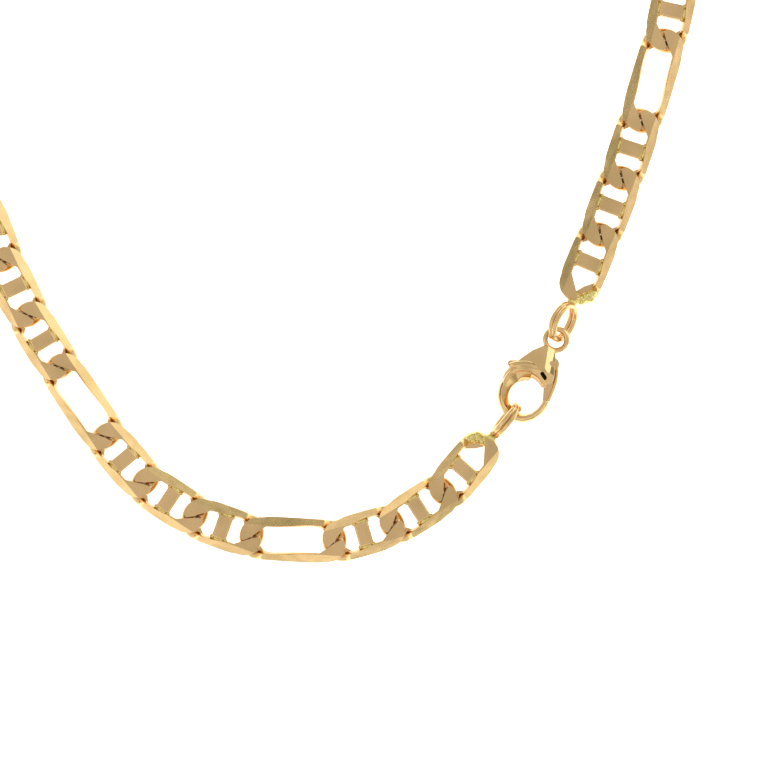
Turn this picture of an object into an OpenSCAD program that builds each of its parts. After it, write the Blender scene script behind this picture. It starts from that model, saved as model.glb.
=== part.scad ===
// Figaro chain necklace: three short barred links to one long link, a two-turn ring
// soldered to each end, and a lobster clasp. It lies flat on the plane z = 0, in mm.

/* [Links] */
// Width of the chain across its two sides
chain_w = 5.65; // [5.3:0.05:6.4]
// Thickness of the chain between its two ground faces
chain_t = 2.3; // [2.1:0.05:2.6]
// Diameter of a link's wire before it is ground
wire_d = 1.45; // [1.25:0.05:1.5]
// Distance between the two crossings of a short link
short_pitch = 7.78; // [7.3:0.02:8.6]
// Distance between the two crossings of a long link
long_pitch = 10.7; // [9.6:0.1:12.5]
// Number of sets of three short links and one long link
sets = 12; // [11:1:14]
// Play between two interlocked bends, along the chain
link_play = 0.25; // [0.2:0.05:0.4]
// Width of the sloping face along each side, seen from above
bevel_w = 1.3; // [1:0.05:1.5]
// Length of a link's bend, along the chain
bend_len = 2.15; // [2:0.05:2.2]

/* [Bars] */
// Width of the bar, along the chain
bar_w = 1.85; // [1.5:0.05:2.1]

/* [Rings] */
// Outer diameter of each two-turn ring
ring_d = 5.4; // [5.2:0.05:5.6]
// Diameter of the ring's wire
ring_wire_d = 0.7; // [0.6:0.02:0.72]
// Gap between a ring's rim and the end of its link, which the solder fills
rim_gap = 0.18; // [0.12:0.02:0.2]
// Play between a ring's rim and the bow that it holds, seen from above
ring_play = 0.45; // [0.4:0.05:0.6]
// Size of the lumps of solder on an end link
solder_d = 0.75; // [0.6:0.05:0.9]

/* [Clasp] */
// Distance from the middle of the eye to the middle of the bow
clasp_reach = 8.2; // [8:0.05:8.6]
// How far the middle of the bow lies to the left of the eye
bow_aside = 1.12; // [1:0.02:1.2]
// Outer diameter of the bow
bow_d = 7; // [6.8:0.05:7.3]
// Width of the bow's band, seen from above
bow_w = 1.15; // [1:0.05:1.25]
// Thickness of the bow's band
bow_t = 1.7; // [1.5:0.05:1.8]
// Outer diameter of the eye
eye_d = 3.5; // [3.4:0.05:3.7]
// Diameter of the eye's wire
eye_wire_d = 0.72; // [0.6:0.02:0.74]
// Thickness of the shield, front to back
shield_t = 3.4; // [3.2:0.05:3.8]
// How far the shield's front slopes in from its outline
shield_slope = 0.55; // [0.45:0.05:0.6]
// Height of the clasp's middle plane above the ground
clasp_z = 2.25; // [2.15:0.05:2.4]
// Distance from the middle of the eye down to the lever's pin
pivot_reach = 3.1; // [3.05:0.05:3.15]
// How far the lever's pin lies to the right of the eye
pivot_aside = 0.65; // [0.6:0.05:0.7]
// Radius of the lever's hub
hub_r = 0.88; // [0.84:0.02:0.92]
// Length of the lever's arm, from the pin to the middle of its thumb nub
arm_len = 5.35; // [5.2:0.05:5.5]
// Width of the lever's arm
arm_w = 0.85; // [0.75:0.05:0.95]
// Thickness of the lever
lever_t = 1.2; // [1:0.05:1.3]
// Gap between the lever and the walls beside it
lever_gap = 0.1; // [0.08:0.02:0.16]
// Diameter of the lever's pin
pin_d = 0.8; // [0.7:0.02:0.9]
// Gap between the pin and the lever's bore, all round
pin_gap = 0.03; // [0.02:0.005:0.06]
// Gap between the pin and its seats in the shield, all round
pin_seat = 0.01; // [0.005:0.005:0.02]
// How far the lever swings to open the gate, in degrees
lever_swing = 28; // [20:1:30]

/* [Hidden] */
gold = [0.83, 0.68, 0.42];
bright_gold = [0.93, 0.8, 0.5];

// Directions of the links that lie in view, in degrees, each list outwards from the clasp.
// The first of each is the end link. They are the chosen points of the chain's route.
left_run = [229.3, 212.5, 196, 176.7, 160.1, 146.3, 129.8, 123.4, 121.1, 115.4, 110.5];
right_run = [67.3, 69.3, 71.7, 73.2, 77.5];
// Directions of the clasp and of the two rings, and how steeply each ring's plane stands
clasp_dir = 69;
left_ring_dir = 231;
right_ring_dir = 64.5;
left_ring_tilt = 87;
right_ring_tilt = 62;
// Where the left ring crosses the bow, and where the right ring's rim stands in the eye,
// as a share of the eye's radius
bow_pass_dir = 252.6;
eye_pass_share = [-0.144, 0.036];

// Shape of a link's bend
wire_r = wire_d / 2;
side_y = chain_w / 2 - wire_r;
reach = wire_d + link_play / 2;
rise = (wire_d + link_play) / 2;
rise_rate = 1.5;
bend_steps = 8;
wire_sides = 6;
section_r = wire_r * 1.02;

// Shape of a ring
ring_r = (ring_d - ring_wire_d) / 2;
ring_section = ring_wire_d / 2;
turn_offset = ring_section * 0.94;
ring_sides = 6;
// Height of a ring's middle when it stands on its rim, leaning over by the tilt
function ring_z(tilt) = ring_r * sin(tilt) + turn_offset * cos(tilt) + ring_section;

// The clasp's own frame: eye at its origin, y from the bow to the eye, z up
bow_center = [-bow_aside, -clasp_reach];
bow_r = bow_d / 2;
bow_mid_r = bow_r - bow_w / 2;
hole_r = bow_r - bow_w;
eye_r = (eye_d - eye_wire_d) / 2;
pivot = [pivot_aside, -pivot_reach];
// The gate's end is an arc about the pivot, where the bow's tip meets it
seam_dir = 8;
gate_r = norm(bow_center + bow_mid_r * dir(seam_dir) - pivot);
arm_dir = 200;
slot_t = lever_t + 2 * lever_gap;
pin_len = shield_t * 0.78;
cut_over = 0.02;

function dir(a) = [cos(a), sin(a)];
function spin(v, a) = [v.x * cos(a) - v.y * sin(a), v.x * sin(a) + v.y * cos(a)];
function unit(v) = v / norm(v);
function total(list, i = 0) = i == len(list) - 1 ? list[i] : list[i] + total(list, i + 1);
function upto(list, n) = n == 0 ? [0, 0] : total([for (i = [0:n - 1]) list[i]]);

// The chain's route, from the clasp's bow round to its eye
link_count = 4 * sets + 3;
function is_long(i) = i % 4 == 3;
function pitch(i) = is_long(i) ? long_pitch : short_pitch;
end_length = short_pitch + reach;

clasp_turn = clasp_dir - 90;
// Where the left ring crosses the bow's middle line, and the right ring's rim inside the eye
bow_pass = spin(bow_center + bow_mid_r * dir(bow_pass_dir), clasp_turn);
eye_pass = spin(eye_r * eye_pass_share, clasp_turn);
left_ring_at = bow_pass + (ring_r - ring_section - bow_w / 2 - ring_play) * dir(left_ring_dir);
right_ring_at = eye_pass + ring_r * dir(right_ring_dir);
left_start = left_ring_at + (ring_d / 2 + rim_gap) * dir(left_ring_dir);
right_start = right_ring_at + (ring_d / 2 + rim_gap) * dir(right_ring_dir);

left_n = len(left_run);
right_n = len(right_run);
hidden_n = link_count - left_n - right_n;
left_end = left_start + end_length * dir(left_run[0])
    + total([for (i = [1:left_n - 1]) pitch(i) * dir(left_run[i])]);
right_end = right_start + end_length * dir(right_run[0])
    + total([for (k = [1:right_n - 1]) pitch(link_count - 1 - k) * dir(right_run[k])]);

// The stretch out of view turns evenly, with two sine waves added that close the loop
from_dir = left_run[left_n - 1];
to_dir = right_run[right_n - 1] - 180;
function hidden_dir(k, wave) = let (s = (k + 1) / (hidden_n + 1))
    from_dir + (to_dir - from_dir) * s + wave[0] * sin(180 * s) + wave[1] * sin(360 * s);
function miss(wave) = total([for (k = [0:hidden_n - 1]) pitch(left_n + k) * dir(hidden_dir(k, wave))])
    - (right_end - left_end);
function closed(wave, rounds) = rounds == 0 ? wave : let (
    step = 0.01,
    m = miss(wave),
    a = (miss(wave + [step, 0]) - m) / step,
    b = (miss(wave + [0, step]) - m) / step,
    det = a.x * b.y - a.y * b.x
) closed(wave - [m.x * b.y - m.y * b.x, a.x * m.y - a.y * m.x] / det, rounds - 1);
first_wave = [12, 24];
wave = closed(first_wave, 6);

run_dirs = [
    for (i = [0:left_n - 1]) left_run[i],
    for (k = [0:hidden_n - 1]) hidden_dir(k, wave),
    for (k = [right_n - 1:-1:0]) right_run[k] - 180,
];
run_steps = [for (i = [0:link_count - 1]) (i == 0 ? end_length : pitch(i)) * dir(run_dirs[i])];
function join(i) = i < 0 ? left_start : left_start + upto(run_steps, i + 1);
joins = [for (i = [0:link_count - 2]) join(i)];
// Middle of each link; the two end links are measured back from their one crossing
function middle(i) = i == 0 ? joins[0] - pitch(0) / 2 * dir(run_dirs[0])
    : joins[i - 1] + pitch(i) / 2 * dir(run_dirs[i]);
middles = [for (i = [0:link_count - 1]) middle(i)];

// The loop's box, from links taken as strips with round ends
function half_strip(i, c) = chain_w / 2 + (pitch(i) / 2 + reach - chain_w / 2) * abs(c);
box_x = [for (i = [0:link_count - 1]) for (s = [-1, 1])
    middles[i].x + s * half_strip(i, cos(run_dirs[i]))];
box_y = [for (i = [0:link_count - 1]) for (s = [-1, 1])
    middles[i].y + s * half_strip(i, sin(run_dirs[i]))];
box_mid = [(min(box_x) + max(box_x)) / 2, (min(box_y) + max(box_y)) / 2];

// Middle line of a link's wire: two half ellipses that the straight sides join.
// Each side runs from the top at one end of the link to the bottom at the other.
function wire_point(half, end, a) = let (share = sin(a))
    [end * (half - bend_len + bend_len * cos(a)), end * side_y * share,
     -rise * sign(share) * sin(90 * min(1, abs(share) * rise_rate))];
function wire_line(half) = [
    for (end = [1, -1]) for (k = [0:bend_steps - 1])
        wire_point(half, end, -90 + 180 * k / (bend_steps - 1)),
];

// The ground surface over a link: a flat in the middle and a slope along each side
function ground_z(y) = chain_t / 2 * min(1, max(0, (chain_w / 2 - abs(y)) / bevel_w));
function ground(p) = [p.x, p.y, min(ground_z(p.y), max(-ground_z(p.y), p.z))];

// Closed tube along a ring of points, its section standing on a flat, cut to the ground
// surface
module ground_wire(line, r, sides) {
    n = len(line);
    points = [
        for (i = [0:n - 1])
            let (
                ahead = unit(line[(i + 1) % n] - line[(i + n - 1) % n]),
                across = unit(cross([0, 0, 1], ahead)),
                up = cross(ahead, across)
            )
            for (j = [0:sides - 1])
                let (a = 360 * (j + 0.5) / sides)
                    ground(line[i] + r * (sin(a) * across + cos(a) * up)),
    ];
    faces = [
        for (i = [0:n - 1]) for (j = [0:sides - 1])
            let (a = i, b = (i + 1) % n, c = (j + 1) % sides)
            each [
                [a * sides + j, a * sides + c, b * sides + c],
                [a * sides + j, b * sides + c, b * sides + j],
            ],
    ];
    polyhedron(points, faces);
}

// Bar across a link, from side to side, its top and underside ground with the link's
module bar() {
    hull() {
        cube([bar_w, chain_w - 2 * bevel_w, chain_t], center = true);
        cube([bar_w, 2 * side_y, wire_r], center = true);
    }
}

// One link in its own frame, x along the chain
module link(length, barred) {
    ground_wire(wire_line(length / 2 + reach - wire_r), section_r, wire_sides);
    if (barred)
        bar();
}

module in_place(i) {
    translate([middles[i].x - box_mid.x, middles[i].y - box_mid.y, chain_t / 2])
        rotate(run_dirs[i])
            children();
}

module short_links() {
    color(gold)
        for (i = [1:link_count - 2])
            if (!is_long(i))
                in_place(i) link(short_pitch, true);
}

module long_links() {
    color(gold)
        for (i = [1:link_count - 2])
            if (is_long(i))
                in_place(i) link(long_pitch, false);
}

// Two turns of wire side by side, soldered into one ring. It stands on its rim,
// its plane holds the direction given and leans over by the tilt.
module ring(at, heading, tilt) {
    translate([at.x - box_mid.x, at.y - box_mid.y, ring_z(tilt)])
        rotate([0, 0, heading])
            rotate([tilt, 0, 0])
                for (s = [-1, 1])
                    rotate_extrude($fn = 16)
                        translate([ring_r, s * turn_offset])
                            rotate(30)
                                circle(ring_section, $fn = ring_sides);
}

// Lumps of solder along the outer bend of an end link, heaped up and outwards at its tip
// round the ring's rim
lump_count = 7;
heap_count = 3;
lump_step = 12;
lump_turn = 37;
module solder(half, outer) {
    heap_out = wire_r + rim_gap + ring_section - solder_d / 2;
    for (k = [0:lump_count - 1])
        let (
            p = wire_point(half, outer, outer * lump_step * (k - 0.5)),
            heap = max(0, 1 - k / heap_count)
        )
        translate([p.x + outer * heap * heap_out, p.y, p.z / 2 + heap * wire_r * 0.7])
            rotate(lump_turn * k)
                hull() {
                    cube([solder_d, solder_d * 0.7, wire_d * 0.95], center = true);
                    cube([solder_d * 0.7, solder_d * 1.3, wire_d * 0.6], center = true);
                }
}

module end_link(i, outer, ring_at, ring_dir, ring_tilt) {
    color(gold)
        union() {
            in_place(i) {
                link(short_pitch, true);
                solder(short_pitch / 2 + reach - wire_r, outer);
            }
            ring(ring_at, ring_dir, ring_tilt);
        }
}

module end_link_left() {
    end_link(0, -1, left_ring_at, left_ring_dir, left_ring_tilt);
}

module end_link_right() {
    end_link(link_count - 1, 1, right_ring_at, right_ring_dir, right_ring_tilt);
}

module clasp_place() {
    translate([-box_mid.x, -box_mid.y, clasp_z])
        rotate(clasp_turn)
            children();
}

module eye() {
    rotate_extrude($fn = 48)
        translate([eye_r, 0])
            circle(eye_wire_d / 2, $fn = 24);
}

// The bow's band, from its root at the left round the bottom to its tip at the right,
// where it runs on a little until the gate's arc cuts it
bow_root_dir = 125;
bow_run_on = 8;
module bow_band() {
    edge = bow_w * 0.3;
    difference() {
        translate(bow_center)
            rotate(bow_root_dir)
                rotate_extrude(angle = 360 + seam_dir + bow_run_on - bow_root_dir, $fn = 72)
                    translate([bow_mid_r, 0])
                        polygon([
                            [-bow_w / 2, -bow_t / 2 + edge], [-bow_w / 2 + edge, -bow_t / 2],
                            [bow_w / 2 - edge, -bow_t / 2], [bow_w / 2, -bow_t / 2 + edge],
                            [bow_w / 2, bow_t / 2 - edge], [bow_w / 2 - edge, bow_t / 2],
                            [-bow_w / 2 + edge, bow_t / 2], [-bow_w / 2, bow_t / 2 - edge],
                        ]);
        translate([pivot.x, pivot.y, -bow_t])
            cylinder(r = gate_r + lever_gap, h = 2 * bow_t, $fn = 96);
    }
}

// Corners of the shield's left shoulder, x and y as shares of the clasp's reach
shoulder = [[-0.287, -0.274], [-0.409, -0.439]];
// Its left foot on the bow: share of the bow's radius, and direction from the bow's middle
foot = [[1.3, 136], [1.034, 154]];
// Its right side: x from the pin as a share of the hub, y as a share of the clasp's reach,
// and the share of the inset by which y moves
right_side = [[0.85, -0.701, 0.5], [1.25, -0.64, 0], [1.05, -0.512, 0], [0.35, -0.305, -1]];
// Outline of the shield, drawn in by the inset
function shield_outline(inset) = [
    [-eye_d * 0.22, -eye_d * 0.3 - inset],
    [clasp_reach * shoulder[0].x + inset, clasp_reach * shoulder[0].y - inset],
    [clasp_reach * shoulder[1].x + inset, clasp_reach * shoulder[1].y - inset / 2],
    for (f = foot) bow_center + (bow_r * f[0] - inset) * dir(f[1]),
    bow_center + (hole_r + bow_w * 0.17) * dir(150),
    bow_center + (hole_r + inset / 4) * dir(40),
    for (r = right_side)
        [pivot.x + hub_r * r.x - inset * min(1, r.x), clasp_reach * r.y + inset * r.z],
    [eye_d * 0.22, -eye_d * 0.36 - inset],
];

// Domed shield between the eye and the bow
edge_share = 0.48;
module shield() {
    hull() {
        translate([0, 0, -shield_t * edge_share / 2])
            linear_extrude(shield_t * edge_share)
                polygon(shield_outline(0));
        translate([0, 0, -shield_t / 2])
            linear_extrude(shield_t)
                polygon(shield_outline(shield_slope));
    }
}

// A point beside a line that runs from the pivot in direction a
function beside(a, along, side) = pivot + along * dir(a) + side * dir(a + 90);

// Directions from the pin: back and front of the gate where it leaves the shield, and the
// side to which the slot opens beside the hub
gate_back_dir = 279;
gate_front_dir = 300;
slot_side_dir = 5;
// Slot through the middle of the shield, for the lever and its whole swing
module lever_slot() {
    reach_out = 2 * arm_len;
    half_arm = arm_w / 2 + lever_gap;
    translate([0, 0, -slot_t / 2]) {
        translate(pivot)
            cylinder(r = gate_r * heel_share + lever_gap, h = slot_t, $fn = 48);
        linear_extrude(slot_t)
            polygon([
                pivot,
                beside(arm_dir, 0, half_arm),
                beside(arm_dir, reach_out, half_arm),
                beside(arm_dir - lever_swing, reach_out, -half_arm),
                beside(arm_dir - lever_swing, 0, -half_arm),
            ]);
        linear_extrude(slot_t)
            polygon([
                pivot,
                beside(gate_back_dir - lever_swing, hub_r * 0.7, -hub_r),
                beside(gate_back_dir - lever_swing, reach_out, -hub_r),
                beside(gate_front_dir, reach_out, 0),
                beside(slot_side_dir, reach_out, 0),
                beside(slot_side_dir, 0, 0),
            ]);
    }
}

module clasp_body() {
    color(bright_gold)
        clasp_place() {
            eye();
            bow_band();
            difference() {
                shield();
                translate([bow_center.x, bow_center.y, -shield_t])
                    cylinder(r = hole_r, h = 2 * shield_t, $fn = 72);
                lever_slot();
                translate([pivot.x, pivot.y, -pin_len / 2 - cut_over])
                    cylinder(d = pin_d + 2 * pin_seat, h = pin_len + 2 * cut_over, $fn = 32);
            }
        }
}

// Edge of the gate as seen from the pivot: share of the gate's length, and direction.
// The heel is the corner that swings inside the shield.
heel_share = 0.27;
gate_outer = [[0.187, 355], [0.306, 326], [0.49, 309], [0.71, 299.6]];
gate_inner = [[0.69, 271.8], [0.49, 263.8], [heel_share, 239.4], [0.187, 200]];
function from_pivot(rows) = [for (row = rows) pivot + gate_r * row[0] * dir(row[1])];

module clasp_lever() {
    color(bright_gold)
        clasp_place()
            difference() {
                translate([0, 0, -lever_t / 2]) {
                    translate(pivot)
                        cylinder(r = hub_r, h = lever_t, $fn = 48);
                    intersection() {
                        linear_extrude(lever_t)
                            polygon(concat(
                                from_pivot(gate_outer),
                                [for (a = [14, 6, -4]) bow_center + bow_r * dir(a)],
                                [for (a = [-4, 12, 28]) bow_center + hole_r * dir(a)],
                                from_pivot(gate_inner)
                            ));
                        translate(pivot)
                            cylinder(r = gate_r, h = lever_t, $fn = 96);
                    }
                    linear_extrude(lever_t)
                        polygon([
                            beside(arm_dir, 0, arm_w / 2), beside(arm_dir, arm_len, arm_w / 2),
                            beside(arm_dir, arm_len, -arm_w / 2), beside(arm_dir, 0, -arm_w / 2),
                        ]);
                    translate(beside(arm_dir, arm_len, 0))
                        cylinder(d = arm_w, h = lever_t, $fn = 32);
                }
                translate([pivot.x, pivot.y, -lever_t])
                    cylinder(d = pin_d + 2 * pin_gap, h = 2 * lever_t, $fn = 32);
            }
}

module clasp_pin() {
    color(bright_gold)
        clasp_place()
            translate([pivot.x, pivot.y, -pin_len / 2])
                cylinder(d = pin_d, h = pin_len, $fn = 32);
}

short_links();
long_links();
end_link_left();
end_link_right();
clasp_body();
clasp_lever();
clasp_pin();
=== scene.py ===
"""Figaro chain necklace in 14 karat yellow gold, lying flat: barred short links, open long links, two
double rings and a lobster clasp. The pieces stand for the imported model's nodes and move with its bodies."""
import math
import random

import bmesh
import bpy
from mathutils import Matrix, Vector
from mathutils.noise import noise


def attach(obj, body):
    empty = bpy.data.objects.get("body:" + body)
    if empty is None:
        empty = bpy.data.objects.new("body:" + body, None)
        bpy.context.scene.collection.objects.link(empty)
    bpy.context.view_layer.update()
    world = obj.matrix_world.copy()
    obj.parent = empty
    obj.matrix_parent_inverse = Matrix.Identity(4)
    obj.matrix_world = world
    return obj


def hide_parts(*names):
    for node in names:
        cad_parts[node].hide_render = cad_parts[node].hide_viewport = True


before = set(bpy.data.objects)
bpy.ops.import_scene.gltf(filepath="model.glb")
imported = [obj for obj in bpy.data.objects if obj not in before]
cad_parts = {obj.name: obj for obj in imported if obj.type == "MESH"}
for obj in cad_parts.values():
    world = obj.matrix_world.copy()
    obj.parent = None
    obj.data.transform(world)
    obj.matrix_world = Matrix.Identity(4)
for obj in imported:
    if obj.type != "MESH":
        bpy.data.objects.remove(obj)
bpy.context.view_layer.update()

bl_info = {
    "name": "Figaro chain necklace",
    "version": (1, 0, 0),
    "blender": (4, 5, 0),
    "location": "3D View > Sidebar > Necklace",
    "description": "Builds the links, rings and lobster clasp of a gold figaro chain, and a stage for it",
    "category": "Object",
}

MM = 0.001
NECKLACE = "necklace"
LEVER = "lever"

# The route of the links in view, in degrees, outwards from the clasp, as in the part's source
LEFT_RUN = [229.3, 212.5, 196, 176.7, 160.1, 146.3, 129.8, 123.4, 121.1, 115.4, 110.5]
RIGHT_RUN = [67.3, 69.3, 71.7, 73.2, 77.5]
CLASP_DIR = 69.0
LEFT_RING_DIR, RIGHT_RING_DIR = 231.0, 64.5
BOW_PASS_DIR, EYE_PASS_SHARE = 252.6, Vector((-0.144, 0.036))
BOW_CENTER = Vector((-1.12, -8.2))
PIVOT = Vector((0.65, -3.1))


def heading(degrees):
    """The unit vector that points in a direction."""
    a = math.radians(degrees)
    return Vector((math.cos(a), math.sin(a)))


def turned(v, degrees):
    """A vector turned to the left."""
    ahead = heading(degrees)
    return Vector((v[0] * ahead.x - v[1] * ahead.y, v[0] * ahead.y + v[1] * ahead.x))


# Sizes that a user would change


def length_prop(name, description, default, low=0.0, high=0.2):
    return bpy.props.FloatProperty(name=name, description=description, default=default, min=low, max=high,
                                   precision=5, unit="LENGTH", subtype="DISTANCE")


def angle_prop(name, description, default):
    return bpy.props.FloatProperty(name=name, description=description, default=math.radians(default),
                                   unit="ROTATION", subtype="ANGLE")


def share_prop(name, description, default):
    return bpy.props.FloatProperty(name=name, description=description, default=default, min=0.0, max=1.0,
                                   subtype="FACTOR")


def srgb(code):
    """Turns an sRGB hex value into the linear colour that Blender's sockets hold."""
    parts = [int(code[i:i + 2], 16) / 255 for i in (1, 3, 5)]
    return [p / 12.92 if p <= 0.04045 else ((p + 0.055) / 1.055) ** 2.4 for p in parts]


def color_prop(name, description, code):
    return bpy.props.FloatVectorProperty(name=name, description=description, default=srgb(code), size=3,
                                         min=0.0, max=1.0, subtype="COLOR")


class ChainSettings(bpy.types.PropertyGroup):
    width: length_prop("Chain width", "Across the two sides of a link", 0.00565)
    thickness: length_prop("Chain thickness", "Between the two ground faces", 0.0023)
    wire: length_prop("Wire height", "Height of a link's wire before it is ground", 0.00145)
    slit: angle_prop("Slit angle", "Angle between the chain and the slit at a crossing", 37)
    slit_gap: length_prop("Slit gap", "Width of the slit between the flats of two links", 0.00022)
    short_pitch: length_prop("Short pitch", "Between the two crossings of a short link", 0.00778)
    long_pitch: length_prop("Long pitch", "Between the two crossings of a long link", 0.0107)
    play: length_prop("Play", "Play between two interlocked bends", 0.00025)
    bevel: length_prop("Sloping face", "Width of the sloping face along each side, from above", 0.00112)
    bevel_tilt: angle_prop("Sloping face's tilt", "Angle between the sloping face and the flat", 41.5)
    bar: length_prop("Bar width", "Width of the bar, along the chain", 0.00185)
    bar_reach: length_prop("Bar reach", "From the link's middle line to the bar's end", 0.00152)
    edge: length_prop("Edge break", "How far the ground edges are broken", 0.00006)
    sets: bpy.props.IntProperty(name="Sets", description="Sets of three short links and one long link",
                                default=12, min=4, max=20)


class RingSettings(bpy.types.PropertyGroup):
    diameter: length_prop("Ring diameter", "Outer diameter of a double ring", 0.0054)
    wire: length_prop("Ring wire", "Diameter of the ring's wire", 0.0007)
    gap: length_prop("Rim gap", "Gap between the rim and the end of its link, filled with solder", 0.00018)
    play: length_prop("Ring play", "Play between the rim and the bow", 0.00045)
    left_tilt: angle_prop("Left tilt", "How steeply the left ring's plane stands", 87)
    right_tilt: angle_prop("Right tilt", "How steeply the right ring's plane stands", 62)
    lump: length_prop("Solder lump", "Size of a lump of solder on the end links", 0.0006)


class ClaspSettings(bpy.types.PropertyGroup):
    height: length_prop("Clasp height", "Height of the clasp's middle above the ground", 0.00225)
    bow: length_prop("Bow diameter", "Outer diameter of the bow", 0.007)
    band: length_prop("Bow width", "Width of the bow's band, from above", 0.00115)
    band_depth: length_prop("Bow depth", "Depth of the bow's band", 0.0017)
    eye: length_prop("Eye diameter", "Outer diameter of the eye", 0.0035)
    eye_wire: length_prop("Eye wire", "Diameter of the eye's wire", 0.00072)
    shield: length_prop("Shield depth", "Depth of the shield, front to back", 0.0034)
    lever: length_prop("Lever depth", "Depth of the lever", 0.0012)


class FinishSettings(bpy.types.PropertyGroup):
    gold: color_prop("Gold", "Colour of the ground and polished gold", "#ECC68C")
    dulled: color_prop("Dulled gold", "Colour of the patches where the shine has dulled", "#AC9459")
    solder: color_prop("Solder", "Colour of the solder, greener than the gold", "#E4D084")
    # Painted shade: the dark colour painted into the clasp's window, which is dark from shade
    painted_window_shade: color_prop("Painted window shade", "Colour of the dark inside of the clasp's window", "#2B1A0B")
    ground_roughness: share_prop("Ground roughness", "Roughness of the ground faces", 0.27)
    polish_roughness: share_prop("Polished roughness", "Roughness of the polished faces", 0.13)


class StageSettings(bpy.types.PropertyGroup):
    distance: length_prop("Camera distance", "Height of the camera over the chain", 0.5, 0.1, 3.0)
    frame_width: length_prop("Frame width", "Width of the picture on the ground", 0.10026, 0.01, 1.0)
    center_x: length_prop("Centre x", "Middle of the picture", 0.01496, -1.0, 1.0)
    center_y: length_prop("Centre y", "Middle of the picture", -0.06882, -1.0, 1.0)
    floor: color_prop("Floor", "Colour of the floor", "#FFFFFF")


# The chain's route


def chain_route():
    """Works out each link's middle in mm and its heading, with the loop's box centred on the origin."""
    chain, rings = bpy.context.scene.chain_settings, bpy.context.scene.ring_settings
    clasp = bpy.context.scene.clasp_settings
    short, long_, width = chain.short_pitch / MM, chain.long_pitch / MM, chain.width / MM
    reach = chain.wire / MM + chain.play / MM / 2
    ring_r = (rings.diameter - rings.wire) / MM / 2
    ring_out = rings.diameter / MM / 2 + rings.gap / MM
    turn = CLASP_DIR - 90
    band = clasp.band / MM
    bow_mid_r = clasp.bow / MM / 2 - band / 2
    bow_pass = turned(BOW_CENTER + bow_mid_r * heading(BOW_PASS_DIR), turn)
    eye_pass = turned((clasp.eye - clasp.eye_wire) / MM / 2 * EYE_PASS_SHARE, turn)
    inside_r = ring_r - rings.wire / MM / 2
    left_ring = bow_pass + (inside_r - band / 2 - rings.play / MM) * heading(LEFT_RING_DIR)
    right_ring = eye_pass + ring_r * heading(RIGHT_RING_DIR)
    left_start = left_ring + ring_out * heading(LEFT_RING_DIR)
    right_start = right_ring + ring_out * heading(RIGHT_RING_DIR)
    count = 4 * chain.sets + 3
    pitch = [long_ if i % 4 == 3 else short for i in range(count)]
    n_left, n_right = len(LEFT_RUN), len(RIGHT_RUN)
    hidden = count - n_left - n_right
    end_length = short + reach

    left_end = left_start + end_length * heading(LEFT_RUN[0])
    for i in range(1, n_left):
        left_end += pitch[i] * heading(LEFT_RUN[i])
    right_end = right_start + end_length * heading(RIGHT_RUN[0])
    for k in range(1, n_right):
        right_end += pitch[count - 1 - k] * heading(RIGHT_RUN[k])

    start, stop = LEFT_RUN[-1], RIGHT_RUN[-1] - 180

    def hidden_dir(k, wave):
        s = (k + 1) / (hidden + 1)
        return (start + (stop - start) * s + wave[0] * math.sin(math.pi * s)
                + wave[1] * math.sin(2 * math.pi * s))

    def miss(wave):
        total = Vector((0.0, 0.0))
        for k in range(hidden):
            total += pitch[n_left + k] * heading(hidden_dir(k, wave))
        return total - (right_end - left_end)

    # two waves in the hidden headings, found by Newton's method, close the loop
    wave, step = [12.0, 24.0], 0.01
    for _ in range(6):
        m = miss(wave)
        a = (miss([wave[0] + step, wave[1]]) - m) / step
        b = (miss([wave[0], wave[1] + step]) - m) / step
        det = a.x * b.y - a.y * b.x
        wave = [wave[0] - (m.x * b.y - m.y * b.x) / det, wave[1] - (a.x * m.y - a.y * m.x) / det]

    dirs = (LEFT_RUN + [hidden_dir(k, wave) for k in range(hidden)]
            + [RIGHT_RUN[k] - 180 for k in range(n_right - 1, -1, -1)])
    joins = [left_start + end_length * heading(dirs[0])]
    for i in range(1, count - 1):
        joins.append(joins[-1] + pitch[i] * heading(dirs[i]))
    middles = [joins[0] - pitch[0] / 2 * heading(dirs[0])]
    middles += [joins[i - 1] + pitch[i] / 2 * heading(dirs[i]) for i in range(1, count)]
    low, high = Vector((1e9, 1e9)), Vector((-1e9, -1e9))
    for p, a, m in zip(pitch, dirs, middles):
        for axis, c in ((0, math.cos(math.radians(a))), (1, math.sin(math.radians(a)))):
            half = width / 2 + (p / 2 + reach - width / 2) * abs(c)
            low[axis] = min(low[axis], m[axis] - half)
            high[axis] = max(high[axis], m[axis] + half)
    mid = (low + high) / 2
    return {
        "middles": [m - mid for m in middles], "dirs": dirs, "count": count, "turn": turn,
        "eye": -mid, "left_ring": left_ring - mid, "right_ring": right_ring - mid,
    }


# Small helpers


def new_object(name, mesh):
    obj = bpy.data.objects.new(name, mesh)
    bpy.context.scene.collection.objects.link(obj)
    return obj


def mesh_from(bm, name, scale=MM):
    bmesh.ops.transform(bm, matrix=Matrix.Scale(scale, 4), verts=bm.verts)
    mesh = bpy.data.meshes.new(name)
    bm.to_mesh(mesh)
    bm.free()
    return mesh


def finish_piece(piece, body, nodes, material):
    """Gives a piece its material, and tells the frame what it stands for and moves with."""
    piece.data.materials.clear()
    piece.data.materials.append(material)
    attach(piece, body)
    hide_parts(*nodes)


def circle(sides, shift=0.0):
    """Cosine and sine of even steps round a circle."""
    steps = [2 * math.pi * (j + shift) / sides for j in range(sides)]
    return [(math.cos(t), math.sin(t)) for t in steps]


def skin(bm, rows, closed=False):
    """Smooth faces from each ring of corners to the next, and a flat face on each end of an open row."""
    for i in range(len(rows) if closed else len(rows) - 1):
        a, b = rows[i], rows[(i + 1) % len(rows)]
        for j in range(len(a)):
            k = (j + 1) % len(a)
            bm.faces.new((a[j], a[k], b[k], b[j])).smooth = True
    if not closed:
        bm.faces.new(list(reversed(rows[0])))
        bm.faces.new(rows[-1])


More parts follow.
